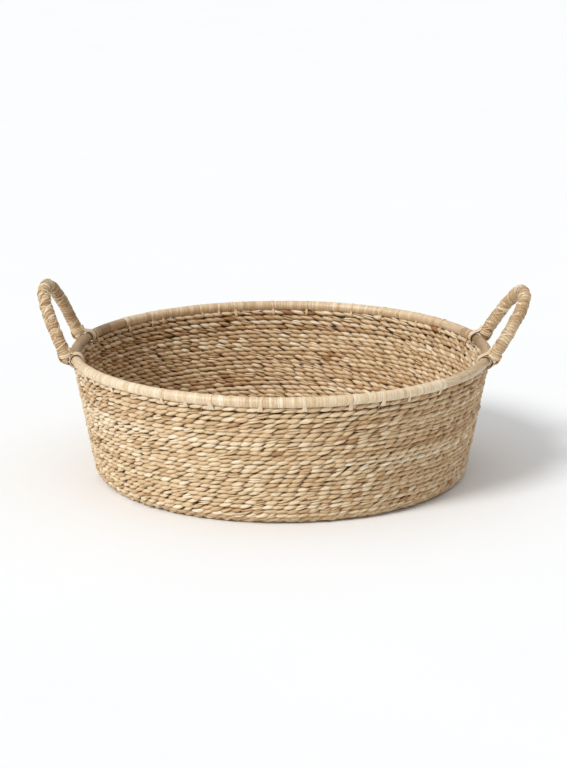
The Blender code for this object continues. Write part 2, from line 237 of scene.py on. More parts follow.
def fibre_material(name, stops, shade_and_scar_colour, rough, bump, lines=9.0, along=0.12, gloss=0.4, sheen=0.08):
    """Plant fibre: tone per strand, streaks along it, fine lengthwise bumps, and a dark colour mixed in by
    a mask: painted shade where strands dive in and in grooves, and scars on bare cane.
    """
    made, tree, shader = new_material(name)
    tone = linked(tree, "ShaderNodeAttribute", attribute_name="tone").outputs["Fac"]
    painted_shade_and_scars = linked(tree, "ShaderNodeAttribute", attribute_name="painted_shade_and_scars").outputs["Fac"]
    fibre = linked(tree, "ShaderNodeAttribute", attribute_name="fibre").outputs["Vector"]
    stretched = linked(
        tree, "ShaderNodeVectorMath", [(0, fibre), (1, (along, lines, 1.0))], operation="MULTIPLY"
    ).outputs[0]
    streak = linked(
        tree,
        "ShaderNodeTexNoise",
        [("Vector", stretched), ("Scale", 1.0), ("Detail", 4.0), ("Roughness", 0.6)],
    ).outputs["Fac"]
    coarse_at = linked(
        tree, "ShaderNodeVectorMath", [(0, fibre), (1, (along * 0.9, 1.2, 1.0))], operation="MULTIPLY"
    ).outputs[0]
    blotch = linked(
        tree, "ShaderNodeTexNoise", [("Vector", coarse_at), ("Scale", 0.8), ("Detail", 2.0)]
    ).outputs["Fac"]
    swing = maths(tree, "MULTIPLY_ADD", streak, 0.84, -0.42)
    shade = maths(tree, "ADD", tone, swing)
    swing = maths(tree, "MULTIPLY_ADD", blotch, 0.44, -0.22)
    shade = maths(tree, "ADD", shade, swing, clamp=True)
    colour = ramp(tree, shade, stops)
    # The mask mixes in the dark colour: painted shade in recesses and grooves, and scars on bare cane.
    mixed = linked(
        tree,
        "ShaderNodeMix",
        [("Factor", painted_shade_and_scars), ("A", colour), ("B", (*srgb(shade_and_scar_colour), 1.0))],
        data_type="RGBA",
    )
    tree.links.new(mixed.outputs["Result"], shader.inputs["Base Color"])
    uneven = maths(tree, "MULTIPLY_ADD", streak, 0.30, rough - 0.15)
    tree.links.new(uneven, shader.inputs["Roughness"])
    relief = linked(
        tree, "ShaderNodeBump", [("Height", streak), ("Strength", bump), ("Distance", 0.45 * MM)]
    ).outputs["Normal"]
    tree.links.new(relief, shader.inputs["Normal"])
    shader.inputs["Specular IOR Level"].default_value = gloss
    shader.inputs["Sheen Weight"].default_value = sheen
    shader.inputs["Sheen Roughness"].default_value = 0.5
    return made


STRAW = [
    (0.00, (164, 118, 76)),
    (0.14, (176, 134, 89)),
    (0.32, (197, 160, 115)),
    (0.52, (217, 186, 144)),
    (0.75, (235, 211, 173)),
    (1.00, (250, 237, 211)),
]
# A darker copy of STRAW for the inside faces: painted shade of the basket's inside.
STRAW_SHADED_INNER = [
    (0.00, (156, 106, 62)),
    (0.14, (166, 124, 80)),
    (0.32, (188, 152, 110)),
    (0.52, (208, 177, 136)),
    (0.75, (228, 203, 167)),
    (1.00, (246, 231, 204)),
]
PEEL = [
    (0.00, (178, 142, 100)),
    (0.30, (214, 184, 144)),
    (0.60, (234, 211, 176)),
    (1.00, (250, 238, 214)),
]
CANE = [
    (0.00, (126, 98, 68)),
    (0.35, (170, 139, 102)),
    (0.70, (206, 177, 138)),
    (1.00, (230, 210, 180)),
]
WRAP = [
    (0.00, (142, 104, 66)),
    (0.30, (184, 148, 105)),
    (0.60, (213, 183, 141)),
    (1.00, (248, 231, 201)),
]

SEAGRASS = fibre_material("seagrass_outer", STRAW, (84, 52, 28), 0.48, 0.75, gloss=0.42, sheen=0.0)
# The seagrass of the inside faces, with darker colours and a darker mask colour: painted shade.
SEAGRASS_SHADED_INNER = fibre_material(
    "seagrass_inner", STRAW_SHADED_INNER, (64, 38, 20), 0.50, 0.75, gloss=0.42, sheen=0.0
)
PEEL_BINDING = fibre_material("rattan_peel", PEEL, (120, 88, 56), 0.36, 0.25, lines=5.0, gloss=0.6)
CANE_BARK = fibre_material("bare_cane", CANE, (84, 62, 42), 0.40, 0.25, lines=7.0, along=0.05, gloss=0.5)
HANDLE_WRAP = fibre_material("handle_wrap", WRAP, (88, 56, 32), 0.44, 0.7, lines=8.0, gloss=0.55)
TIE_PEEL = fibre_material("tie_peel", PEEL, (110, 78, 48), 0.42, 0.3, lines=5.0, gloss=0.55)


# ---------------------------------------------------------------- wall shape

def wall_point(s, depth):
    """Radius and z at s along the outer face, from where it leaves the floor, and depth inside it."""
    s, depth = np.broadcast_arrays(np.asarray(s, float), np.asarray(depth, float))
    centre_r = FOOT_RADIUS + CORNER_RADIUS * math.tan(WALL_LEAN) - CORNER_RADIUS / math.cos(WALL_LEAN)
    arc = CORNER_RADIUS * (math.pi / 2 - WALL_LEAN)
    angle = np.clip(s / CORNER_RADIUS, 0, math.pi / 2 - WALL_LEAN)
    beyond = np.maximum(s - arc, 0)
    reach = CORNER_RADIUS - depth
    radius = centre_r + reach * np.sin(angle) + beyond * math.sin(WALL_LEAN)
    z = CORNER_RADIUS - reach * np.cos(angle) + beyond * math.cos(WALL_LEAN)
    return radius, z


def wall_frame(azimuth, s, depth):
    """Point, tangent, up-the-wall and outward vectors at places on the wall."""
    radius, z = wall_point(s, depth)
    angle = np.clip(np.asarray(s, float) / CORNER_RADIUS, 0, math.pi / 2 - WALL_LEAN)
    out_r, out_z = np.sin(angle), -np.cos(angle)
    up_r, up_z = np.cos(angle), np.sin(angle)
    azimuth, radius, z, out_r, out_z, up_r, up_z = np.broadcast_arrays(
        azimuth, radius, z, out_r, out_z, up_r, up_z
    )
    cosine, sine = np.cos(azimuth), np.sin(azimuth)
    point = np.stack([radius * cosine, radius * sine, z], -1)
    tangent = np.stack([-sine, cosine, np.zeros_like(sine)], -1)
    up = np.stack([up_r * cosine, up_r * sine, up_z], -1)
    out = np.stack([out_r * cosine, out_r * sine, out_z], -1)
    return point, tangent, up, out


WALL_ARC = CORNER_RADIUS * (math.pi / 2 - WALL_LEAN)
WALL_LENGTH = WALL_ARC + (WALL_TOP_Z - wall_point(WALL_ARC, 0.0)[1]) / math.cos(WALL_LEAN)
PITCH = WALL_LENGTH / ROWS


# ---------------------------------------------------------------- strands

STROKE_RINGS = 11
STROKE_SIDES = 12
TUBE_SIDES = 30
STRAND_THICKNESS = 4.5 * MM


def add_strokes(pile, rng, point, tangent, up, out, size, tone, slant, dive=2.4 * MM):
    """One bulging length of strand at each point. size is (length, width, thickness) per stroke."""
    count = len(point)
    length, width, thick = (np.asarray(v)[:, None, None] for v in size)
    slant = np.asarray(slant)[:, None, None]
    t = np.linspace(-1, 1, STROKE_RINGS)[None, :, None]
    turn = (TAU * np.arange(STROKE_SIDES) / STROKE_SIDES - math.pi / 2)[None, None, :]
    belly = 0.04 + 0.96 * (1 - np.abs(t) ** 1.65) ** 0.85
    bow = rng.uniform(-0.4, 0.4, (count, 1, 1)) * MM
    lean = rng.uniform(-0.5, 0.5, (count, 1, 1))
    x = t * length / 2
    y = np.tan(slant) * x * (1.25 - 0.25 * t * t) + bow * (1 - t * t)
    n = -dive * np.abs(t) ** 2.6
    crease = 1 + 0.15 * np.cos(3 * turn + rng.uniform(0, TAU, (count, 1, 1)) + 2.8 * t)
    crease += 0.10 * np.cos(4 * turn + rng.uniform(0, TAU, (count, 1, 1)) - 2.6 * t)
    across = width / 2 * belly * np.cos(turn) * crease
    rise = thick / 2 * (0.35 + 0.65 * belly) * np.sin(turn) * crease
    tilt = 0.25 * lean
    y = y + across * np.cos(tilt) - rise * np.sin(tilt)
    n = n + rise * np.cos(tilt) + across * np.sin(tilt) - 1.1 * MM * (2 * y / PITCH) ** 2
    x = x - np.sin(slant) * across * 0.8
    x, y, n = np.broadcast_arrays(x, y, n)
    rings = (
        point[:, None, None]
        + x[..., None] * tangent[:, None, None]
        + y[..., None] * up[:, None, None]
        + n[..., None] * out[:, None, None]
    )
    # Painted shade: darker towards the stroke's ends where it dives in, on its face turned into the wall,
    # and along its upper and lower edges where rows meet.
    painted_end_shade = 0.85 * np.clip((np.abs(t) - 0.52) / 0.48, 0, 1) ** 1.2
    edge = np.clip(-np.sin(turn) - 0.05, 0, 1) * 0.7
    painted_row_gap_shade = 0.22 * np.abs(np.cos(turn)) ** 4
    painted_shade_and_scars = np.clip(np.maximum(painted_end_shade, edge) + painted_row_gap_shade, 0, 0.95)
    seed = rng.uniform(0, 400, (count, 1, 1))
    u = (t * length / 2 / MM) + seed
    v = (turn + math.pi / 2) / TAU + 0.10 * t
    uv = np.stack(np.broadcast_arrays(u, v), -1)
    # Painted highlight and shade: each stroke's upper edge and middle are lighter, its lower edge and ends
    # darker.
    shade = np.asarray(tone)[:, None, None] + 0.10 * np.cos(turn) + 0.07 * (1 - 2 * t * t)
    pile.tube(rings, np.clip(shade, 0, 1), painted_shade_and_scars, uv)


def strand_tones(rng, count, level, spread):
    """Tones of a row's strokes. Every other one is the same strand, with a new one spliced in at times."""
    tones = np.empty(count)
    for strand in (0, 1):
        value = rng.normal(level, spread)
        for k in range(strand, count, 2):
            if rng.random() < 0.14:
                value = rng.normal(level, spread)
            tones[k] = value
    tones += rng.normal(0, spread * 0.55, count)
    tones += 0.06 * smooth_noise(rng, count, 9)
    tones = np.where(rng.random(count) < 0.014, rng.uniform(0.0, 0.10, count), tones)
    return np.clip(tones, 0.0, 0.98)


def top_lift(azimuth, index):
    """How far the top rows are pushed up against the rim, except right under a handle's eye."""
    share = {ROWS - 1: 1.0, ROWS - 2: 0.64, ROWS - 3: 0.36, ROWS - 4: 0.16}.get(index, 0.0)
    apart = np.abs((np.asarray(azimuth)[..., None] - EYES + math.pi) % TAU - math.pi).min(axis=-1)
    clear = np.clip((apart - math.radians(4.6)) / math.radians(1.6), 0, 1)
    return (4.1 * clear - 1.7) * MM * share


def add_row(pile, rng, index, inside):
    """The strokes of one wall row on one face."""
    s = (index + 0.5) * PITCH
    if index == ROWS - 1:
        s += 0.4 * MM
    spacing = TAU / STAKES
    below = ROWS - 1 - index
    start = below * ROW_SHIFT * spacing * (1 if not inside else -1) + (0.5 * spacing if inside else 0)
    azimuth = np.arange(STAKES) * spacing + start + rng.normal(0, 0.13) * spacing
    azimuth += (rng.normal(0, 0.07, STAKES) + 0.42 * smooth_noise(rng, STAKES, 9)) * spacing
    wander = smooth_noise(rng, STAKES, 17) * 0.45 * MM + top_lift(azimuth, index)
    depth = (WALL_DEPTH - 1.85 * MM) if inside else 1.75 * MM
    depth = depth + rng.normal(0, 0.22 * MM, STAKES)
    point, tangent, up, out = wall_frame(azimuth, s + wander, depth)
    radius = np.hypot(point[:, 0], point[:, 1])
    slant = np.radians(rng.normal(11.5, 4.0, STAKES))
    if index == ROWS - 1:
        slant = np.minimum(slant, math.radians(10.0))
    if inside:
        out = -out
    length = radius * spacing * rng.normal(1.74, 0.12, STAKES)
    width = PITCH * rng.normal(1.00, 0.11, STAKES)
    thickness = STRAND_THICKNESS * rng.normal(1.0, 0.10, STAKES)
    level = (0.55 if inside else 0.57) + rng.normal(0, 0.03)
    tone = strand_tones(rng, STAKES, level, 0.13 if inside else 0.11)
    # Strands are darker on the faces turned from the sun. This stands in for part of the shade there,
    # so it stays on the basket in any other light.
    if inside:
        tone = np.clip(tone - 0.20 * np.exp(-(((azimuth % TAU - math.pi) / 0.7) ** 2)), 0, 1)
    else:
        apart = (azimuth + 0.2 + math.pi) % TAU - math.pi
        tone = np.clip(tone - 0.15 * np.exp(-((apart / 0.8) ** 2)), 0, 1)
    split = rng.random(STAKES) < 0.13
    width = np.where(split, width * 0.66, width)
    shift = np.where(split, -0.20, 0.0)[:, None] * PITCH
    size = (length, width, thickness)
    add_strokes(pile, rng, point + up * shift, tangent, up, out, size, tone, slant)
    twin = np.flatnonzero(split)
    size = (length[twin] * 0.92, width[twin] * 0.72, thickness[twin] * 0.8)
    place = point[twin] + up[twin] * (0.27 * PITCH) + out[twin] * (0.2 * MM)
    tone = np.clip(tone[twin] + rng.normal(0, 0.12, len(twin)), 0.05, 0.95)
    angle = slant[twin] + np.radians(rng.normal(0, 5, len(twin)))
    add_strokes(pile, rng, place, tangent[twin], up[twin], out[twin], size, tone, angle)
    if index == ROWS - 1:  # short strokes that close the gap beside each eye
        beside = (EYES[:, None] + np.radians([-3.9, 3.9])).ravel()
        count = len(beside)
        depth = (WALL_DEPTH - 2.2 * MM) if inside else 2.2 * MM
        point, tangent, up, out = wall_frame(beside, np.full(count, s + 2.5 * MM), np.full(count, depth))
        size = tuple(np.full(count, value * MM) for value in (14.0, 4.2, 3.6))
        tone = strand_tones(rng, count, level, 0.08)
        out = -out if inside else out
        add_strokes(pile, rng, point, tangent, up, out, size, tone, np.full(count, 0.05))


def add_band(pile, index):
    """The row's hidden middle, which fills the gap between its outside and inside strokes: a dark sheet of
    painted shade seen through the gaps.
    """
    azimuth = TAU * np.arange(STAKES) / STAKES
    low = index * PITCH - 0.2 * MM
    high = (index + 1) * PITCH + 0.2 * MM + top_lift(azimuth, index)
    if index == ROWS - 1:
        high -= 1.0 * MM
    rings = []
    for s, depth in ((low, 3.5 * MM), (high, 3.5 * MM), (high, 5.0 * MM), (low, 5.0 * MM)):
        rings.append(wall_frame(azimuth, s, depth)[0])
    rings = np.stack(rings, 1)
    uv = np.zeros((*rings.shape[:2], 2))
    uv[..., 0] = (azimuth * 40)[:, None]
    # Nearly all the dark mask colour: painted shade behind the strokes.
    pile.tube(rings, 0.2, 0.95, uv, closed=True)


def build_wall():
    for index, node in enumerate(ROW_NODES):
        rng = np.random.default_rng(100 + index)
        pile = Pile()
        add_row(pile, rng, index, inside=False)
        piece = pile.build(f"twined_row_{index + 1:02d}_outside", SEAGRASS)
        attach(piece, "basket")
        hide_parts(node)

        pile = Pile()
        add_row(pile, rng, index, inside=True)
        add_band(pile, index)
        piece = pile.build(f"twined_row_{index + 1:02d}_inside", SEAGRASS_SHADED_INNER)
        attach(piece, "basket")
        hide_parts("wall_top_inner_row" if index == ROWS - 1 else "wall_inner_weave")


# ---------------------------------------------------------------- base

def add_round(pile, rng, radius, z, outward, count, level):
    """One twined round of the base. outward is +1 on its upper face and -1 underneath."""
    spacing = TAU / count
    azimuth = np.arange(count) * spacing + rng.uniform(0, TAU) + rng.normal(0, 0.05, count) * spacing
    cosine, sine = np.cos(azimuth), np.sin(azimuth)
    zero = np.zeros(count)
    point = np.stack([radius * cosine, radius * sine, zero + z], -1)
    tangent = np.stack([-sine, cosine, zero], -1)
    up = np.stack([cosine, sine, zero], -1)
    out = np.stack([zero, zero, zero + outward], -1)
    slant = np.radians(rng.normal(17 * outward, 4, count))
    length = radius * spacing * rng.normal(1.42, 0.07, count)
    width = PITCH * rng.normal(1.10, 0.10, count)
    thickness = 3.2 * MM * rng.normal(1.0, 0.08, count)
    tone = strand_tones(rng, count, level, 0.12)
    size = (length, width, thickness)
    add_strokes(pile, rng, point, tangent, up, out, size, tone, slant, dive=1.8 * MM)


def build_base():
    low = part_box("base_lower_weave")
    edge = low[1].x
    for name, node, z, outward, material, slot in (
        ("base_rounds_upper", "base_upper_weave", UPPER_ROUNDS_Z, 1, SEAGRASS_SHADED_INNER, "seagrass_inner"),
        ("base_rounds_lower", "base_lower_weave", LOWER_ROUNDS_Z, -1, SEAGRASS, "seagrass_outer"),
    ):
        rng = np.random.default_rng(300 + outward)
        piles = {"outer": Pile(), "middle": Pile(), "inner": Pile()}
        radius = edge - PITCH / 2 + (0.8 * MM if outward < 0 else 3.0 * MM)
        while radius > 8 * MM:
            band = "outer" if radius > 0.80 * edge else "middle" if radius > 0.52 * edge else "inner"
            spread = max(7, round(TAU * radius / (13.2 * MM)))
            add_round(piles[band], rng, radius, z, outward, spread, 0.46)
            radius -= PITCH
        segments = 72
        azimuth = TAU * np.arange(segments) / segments
        rings = []
        sheet = ((1.0 * MM, 2.6 * MM), (edge, 2.6 * MM), (edge, 3.4 * MM), (1.0 * MM, 3.4 * MM))
        for r, h in sheet:
            height = h if outward < 0 else BASE_TOP - h
            level = np.full(segments, height)
            rings.append(np.stack([r * np.cos(azimuth), r * np.sin(azimuth), level], -1))
        rings = np.stack(rings, 1)
        uv = np.zeros((*rings.shape[:2], 2))
        # A dark disc of painted shade inside the base rounds, seen through their gaps.
        piles["inner"].tube(rings, 0.2, 0.9, uv, closed=True)
        for band, pile in piles.items():
            piece = pile.build(f"{name}_{band}", material)
            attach(piece, "basket")
            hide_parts(node, "base_centre_knot")


# ---------------------------------------------------------------- wound strips

def wraps(rng, length, widths):
    """Edges of strips wound side by side along a length, with a tone and a lift for each."""
    low, high = widths
    edges = [-2 * high]
    while edges[-1] < length + 2 * high:
        edges.append(edges[-1] + rng.uniform(low, high))
    edges = np.array(edges)
    tones = rng.normal(0, 1, len(edges))
    lifts = rng.normal(0, 1, len(edges))
    return edges, tones, lifts


def wound_surface(rng, s, turn, length, widths, tilt, ragged):
    """The strip's index at each place on a tube, how far across it that is, and its tone and lift."""
    edges, tones, lifts = wraps(rng, length, widths)
    lean = tilt * (1 + 0.5 * np.sin(s / (31 * MM) + rng.uniform(0, TAU)))
    phase = rng.uniform(0, TAU) + 0.8 * np.sin(s / (47 * MM))
    along = s + lean * np.cos(turn - phase)
    along = along + ragged * np.sin(2 * turn + s / (9 * MM))
    along = along + 0.6 * ragged * np.sin(3 * turn - s / (5 * MM))
    index = np.clip(np.searchsorted(edges, along) - 1, 0, len(edges) - 2)
    share = (along - edges[index]) / (edges[index + 1] - edges[index])
    return index, share, tones[index], lifts[index]


def ridge(share, sharp):
    """A strip's cross-section, from 0 at its edges to 1."""
    return 1 - np.abs(2 * share - 1) ** sharp


# ---------------------------------------------------------------- rim

def rim_points(azimuth, turn, radius):
    reach = RIM_RADIUS + radius * np.cos(turn)
    z = RIM_Z + radius * np.sin(turn)
    return np.stack([reach * np.cos(azimuth), reach * np.sin(azimuth), z], -1)


def build_rim_binding(name, node, start, end, level, seed):
    rng = np.random.default_rng(seed)
    length = (end - start) * RIM_RADIUS
    rings = int(length / (0.42 * MM))
    azimuth = np.linspace(start, end, rings)[:, None]
    turn = (TAU * np.arange(TUBE_SIDES) / TUBE_SIDES)[None, :]
    s = (azimuth - start) * RIM_RADIUS
    index, share, tone, lift = wound_surface(
        rng, s, turn, length, (2.2 * MM, 4.2 * MM), tilt=0.7 * MM, ragged=0.12 * MM
    )
    swell = 0.10 * MM * np.sin(s / (23 * MM)) + 0.08 * MM * np.sin(s / (9 * MM) + 1.3)
    radius = BINDING_RADIUS - 0.35 * MM + 0.24 * MM * ridge(share, 3) + 0.09 * MM * lift + swell
    points = rim_points(azimuth, turn, radius)
    tone = np.clip(level + 0.11 * tone + 0.06 * np.sin(s / (61 * MM)), 0.05, 0.95)
    # Painted shade in the grooves between the wraps.
    painted_shade_and_scars = np.clip(0.42 * (1 - ridge(share, 8)), 0, 0.6)
    uv = np.stack(np.broadcast_arrays(turn * BINDING_RADIUS / MM + index * 31.7, share), -1)
    pile = Pile()
    pile.tube(points, tone, painted_shade_and_scars, uv)
    piece = pile.build(name, PEEL_BINDING)
    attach(piece, "basket")
    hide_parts(node)


LEFT_SPANS = (
    (LEFT_SPLICE[0], 152, 0.50), (152, 157, 0.24), (157, 162, 0.38),
    (162, 176, 0.42), (176, 191, 0.56), (191, LEFT_SPLICE[1], 0.82),
)
RIGHT_SPANS = (
    (RIGHT_SPLICE[0], -31, 0.78), (-31, -13, 0.74), (-13, 9, 0.46),
    (9, 15, 0.34), (15, 22, 0.52), (22, RIGHT_SPLICE[1], 0.80),
)


def build_splice(name, node, spans, seed):
    """Bare cane at a handle. spans are (start, end, tone) lengths in degrees, butted together."""
    rng = np.random.default_rng(seed)
    start, end = math.radians(spans[0][0]), math.radians(spans[-1][1])
    length = (end - start) * RIM_RADIUS
    rings = int(length / (0.6 * MM))
    azimuth = np.linspace(start, end, rings)[:, None]
    turn = (TAU * np.arange(TUBE_SIDES) / TUBE_SIDES)[None, :]
    s = (azimuth - start) * RIM_RADIUS
    radius = np.full((rings, TUBE_SIDES), BARE_CANE_RADIUS)
    scar = np.zeros_like(radius)
    tone = np.zeros_like(radius)
    for first, last, level in spans:
        inside = (azimuth >= math.radians(first)) & (azimuth <= math.radians(last) + 1e-6)
        tone = np.where(inside, level, tone)
        edge = (math.radians(first) - start) * RIM_RADIUS
        near = np.exp(-(((s + 0.8 * MM * np.cos(turn) - edge) / (0.6 * MM)) ** 2))
        radius = radius - 0.45 * MM * near
        scar = np.maximum(scar, 0.75 * near)
    for place in np.sort(rng.uniform(0.04, 0.96, 8)) * length:
        skew = rng.uniform(-1.0, 1.0) * MM
        near = np.exp(-(((s + skew * np.cos(turn) - place) / (0.7 * MM)) ** 2))
        depth = rng.uniform(0.10, 0.35)
        radius = radius - depth * 0.4 * MM * near
        scar = np.maximum(scar, depth * near)
    radius = radius + 0.12 * MM * np.sin(s / (17 * MM) + rng.uniform(0, TAU))
    tone = np.clip(tone + 0.07 * np.sin(2 * turn + s / (40 * MM)), 0, 1)
    points = rim_points(azimuth, turn, radius)
    uv = np.stack(np.broadcast_arrays(s / MM + seed * 3, turn / TAU * 3), -1)
    pile = Pile()
    pile.tube(points, tone, np.clip(scar, 0, 0.8), uv)
    piece = pile.build(name, CANE_BARK)
    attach(piece, "basket")
    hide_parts(node)


def strip(pile, rng, centres, normals, width, thickness, tone, painted_shade_and_scars=0.0):
    """A flat peel strip along centres (n, 3), with its face along normals (n, 3)."""
    centres, normals = np.asarray(centres), np.asarray(normals)
    ahead = np.gradient(centres, axis=0)
    ahead /= np.linalg.norm(ahead, axis=1)[:, None]
    normals = normals - (normals * ahead).sum(1)[:, None] * ahead
    normals /= np.linalg.norm(normals, axis=1)[:, None]
    across = np.cross(ahead, normals)
    sides = 10
    turn = TAU * np.arange(sides) / sides
    wide = np.sign(np.cos(turn)) * np.abs(np.cos(turn)) ** 0.6
    high = np.sign(np.sin(turn)) * np.abs(np.sin(turn)) ** 0.8
    width = np.broadcast_to(width, len(centres))[:, None, None]
    rings = (
        centres[:, None]
        + across[:, None] * (wide[None, :, None] * width / 2)
        + normals[:, None] * (high[None, :, None] * thickness / 2)
    )
    run = np.concatenate([[0], np.cumsum(np.linalg.norm(np.diff(centres, axis=0), axis=1))]) / MM
    u = (run + rng.uniform(0, 300))[:, None] + 0 * turn[None]
    v = (wide * 0.5 + 0.5)[None, :] + 0 * u
    pile.tube(rings, tone, painted_shade_and_scars, np.stack([u, v], -1))


def catmull(knots, count):
    """Smooth points through knots."""
    knots = np.asarray(knots, float)
    padded = np.vstack([2 * knots[0] - knots[1], knots, 2 * knots[-1] - knots[-2]])
    spans = len(knots) - 1
    place = np.linspace(0, spans, count)
    i = np.minimum(place.astype(int), spans - 1)
    t = (place - i)[:, None]
    a, b, c, d = padded[i], padded[i + 1], padded[i + 2], padded[i + 3]
    square = (2 * a - 5 * b + 4 * c - d) * t**2
    cube = (3 * b - a - 3 * c + d) * t**3
    return 0.5 * (2 * b + (c - a) * t + square + cube)


TIE_POINTS = 44


def tie_loop(pile, rng, azimuth, spread):
    """One tie: out of the weave, up round the rim and back into the weave inside, with a spread foot."""
    s_out = WALL_LENGTH + rng.uniform(-2.6, -0.8) * MM
    s_in = WALL_LENGTH - rng.uniform(0.2, 2.6) * MM
    drift = rng.uniform(-4, 4) * MM / RIM_RADIUS
    reach = BINDING_RADIUS + 0.02 * MM
    knots = [(*wall_point(s_out, 1.8 * MM), -0.4), (*wall_point(s_out + 1.2 * MM, -0.3 * MM), -0.3)]
    for turn, share in (
        (-42, -0.1), (-20, 0), (10, 0.1), (45, 0.3), (90, 0.5), (135, 0.7), (172, 0.9), (212, 1.0)
    ):
        angle = math.radians(turn)
        knots.append((RIM_RADIUS + reach * math.cos(angle), RIM_Z + reach * math.sin(angle), share))
    knots.append((*wall_point(WALL_LENGTH + 1.6 * MM, WALL_DEPTH + 0.3 * MM), 1.1))
    knots.append((*wall_point(s_in, WALL_DEPTH + 0.4 * MM), 1.2))
    knots.append((*wall_point(s_in - 1.5 * MM, WALL_DEPTH - 1.5 * MM), 1.3))
    flat = catmull(knots, TIE_POINTS)
    angle = azimuth + drift * flat[:, 2]
    centres = np.stack([flat[:, 0] * np.cos(angle), flat[:, 0] * np.sin(angle), flat[:, 1]], -1)
    away = flat[:, :2] - np.array([RIM_RADIUS - 0.6 * MM, RIM_Z - 3.0 * MM])
    away /= np.linalg.norm(away, axis=1)[:, None]
    normals = np.stack([away[:, 0] * np.cos(angle), away[:, 0] * np.sin(angle), away[:, 1]], -1)
    width = rng.uniform(2.8, 4.0) * MM
    widths = width * (1 + spread * np.exp(-((np.arange(TIE_POINTS) / 6.0) ** 2)))
    tone = np.linspace(0.66, 0.30, TIE_POINTS)[:, None] + rng.normal(0, 0.06)
    strip(pile, rng, centres, normals, widths, STRIP_THICKNESS, np.clip(tone, 0.1, 0.95))


FRONT_TIES = (
    (206, 0.9), (211, 0.6), (220, 1.2), (238, 0.8), (245, 0.5), (252, 2.2),
    (265, 1.8), (276, 0.8), (288, 0.6), (297, 1.0), (305, 0.6), (316, 0.9),
)
REAR_TIES = (
    (19, 0.6), (34, 0.5), (45, 0.6), (57, 0.4), (68, 0.6), (82, 0.4), (93, 0.5),
    (105, 0.6), (109, 0.4), (115, 0.6), (129, 0.5), (132, 0.4), (143, 0.6), (161, 0.5),
)


def build_ties():
    """Ties at azimuths in degrees, each with how far its foot spreads."""
    rng = np.random.default_rng(71)
    pile = Pile()
    for azimuth, spread in FRONT_TIES + REAR_TIES:
        tie_loop(pile, rng, math.radians(azimuth), spread)
    piece = pile.build("rim_ties", TIE_PEEL)
    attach(piece, "basket")
    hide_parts("rim_lacing")


# ---------------------------------------------------------------- handles

def handle_place(side_name, across, up, out):
    """World positions from a handle's own frame: across its legs, up them, and out from the basket."""
    hinge = HINGES[f"handle_{side_name}"]
    azimuth = math.atan2(hinge.y, hinge.x)
    lean = LEANS[side_name]
    reach = out * math.cos(lean) + up * math.sin(lean)
    z = up * math.cos(lean) - out * math.sin(lean)
    across, reach, z = np.broadcast_arrays(across, reach, z)
    x = reach * math.cos(azimuth) - across * math.sin(azimuth)
    y = reach * math.sin(azimuth) + across * math.cos(azimuth)
    return np.stack([hinge.x + x, hinge.y + y, hinge.z + z], -1)


def hoop_line(step):
    """The hoop's centre line at even steps, as (across, up), with the directions along it."""
    t = np.linspace(0, math.pi, 4000)
    cosine, sine = np.cos(t), np.sin(t)
    across = HALF_SPAN * np.sign(cosine) * np.abs(cosine) ** (2 / HANDLE_POWER)
    up = HANDLE_HEIGHT * np.abs(sine) ** (2 / HANDLE_POWER)
    run = np.concatenate([[0], np.cumsum(np.hypot(np.diff(across), np.diff(up)))])
    places = np.arange(0, run[-1], step)
    line = np.stack([np.interp(places, run, across), np.interp(places, run, up)], -1)
    ahead = np.gradient(line, axis=0)
    ahead /= np.linalg.norm(ahead, axis=1)[:, None]
    return places, line, ahead


def saddle(up, out):
    """Keeps a leg's end clear of the eye, and tapers it up from the eye on its outer side."""
    clear = EYE_RADIUS + 0.25 * MM
    floor = np.where(out < clear, np.sqrt(np.maximum(clear**2 - out**2, 0.0)), (out - clear) * 0.8)
    return np.maximum(up, floor)


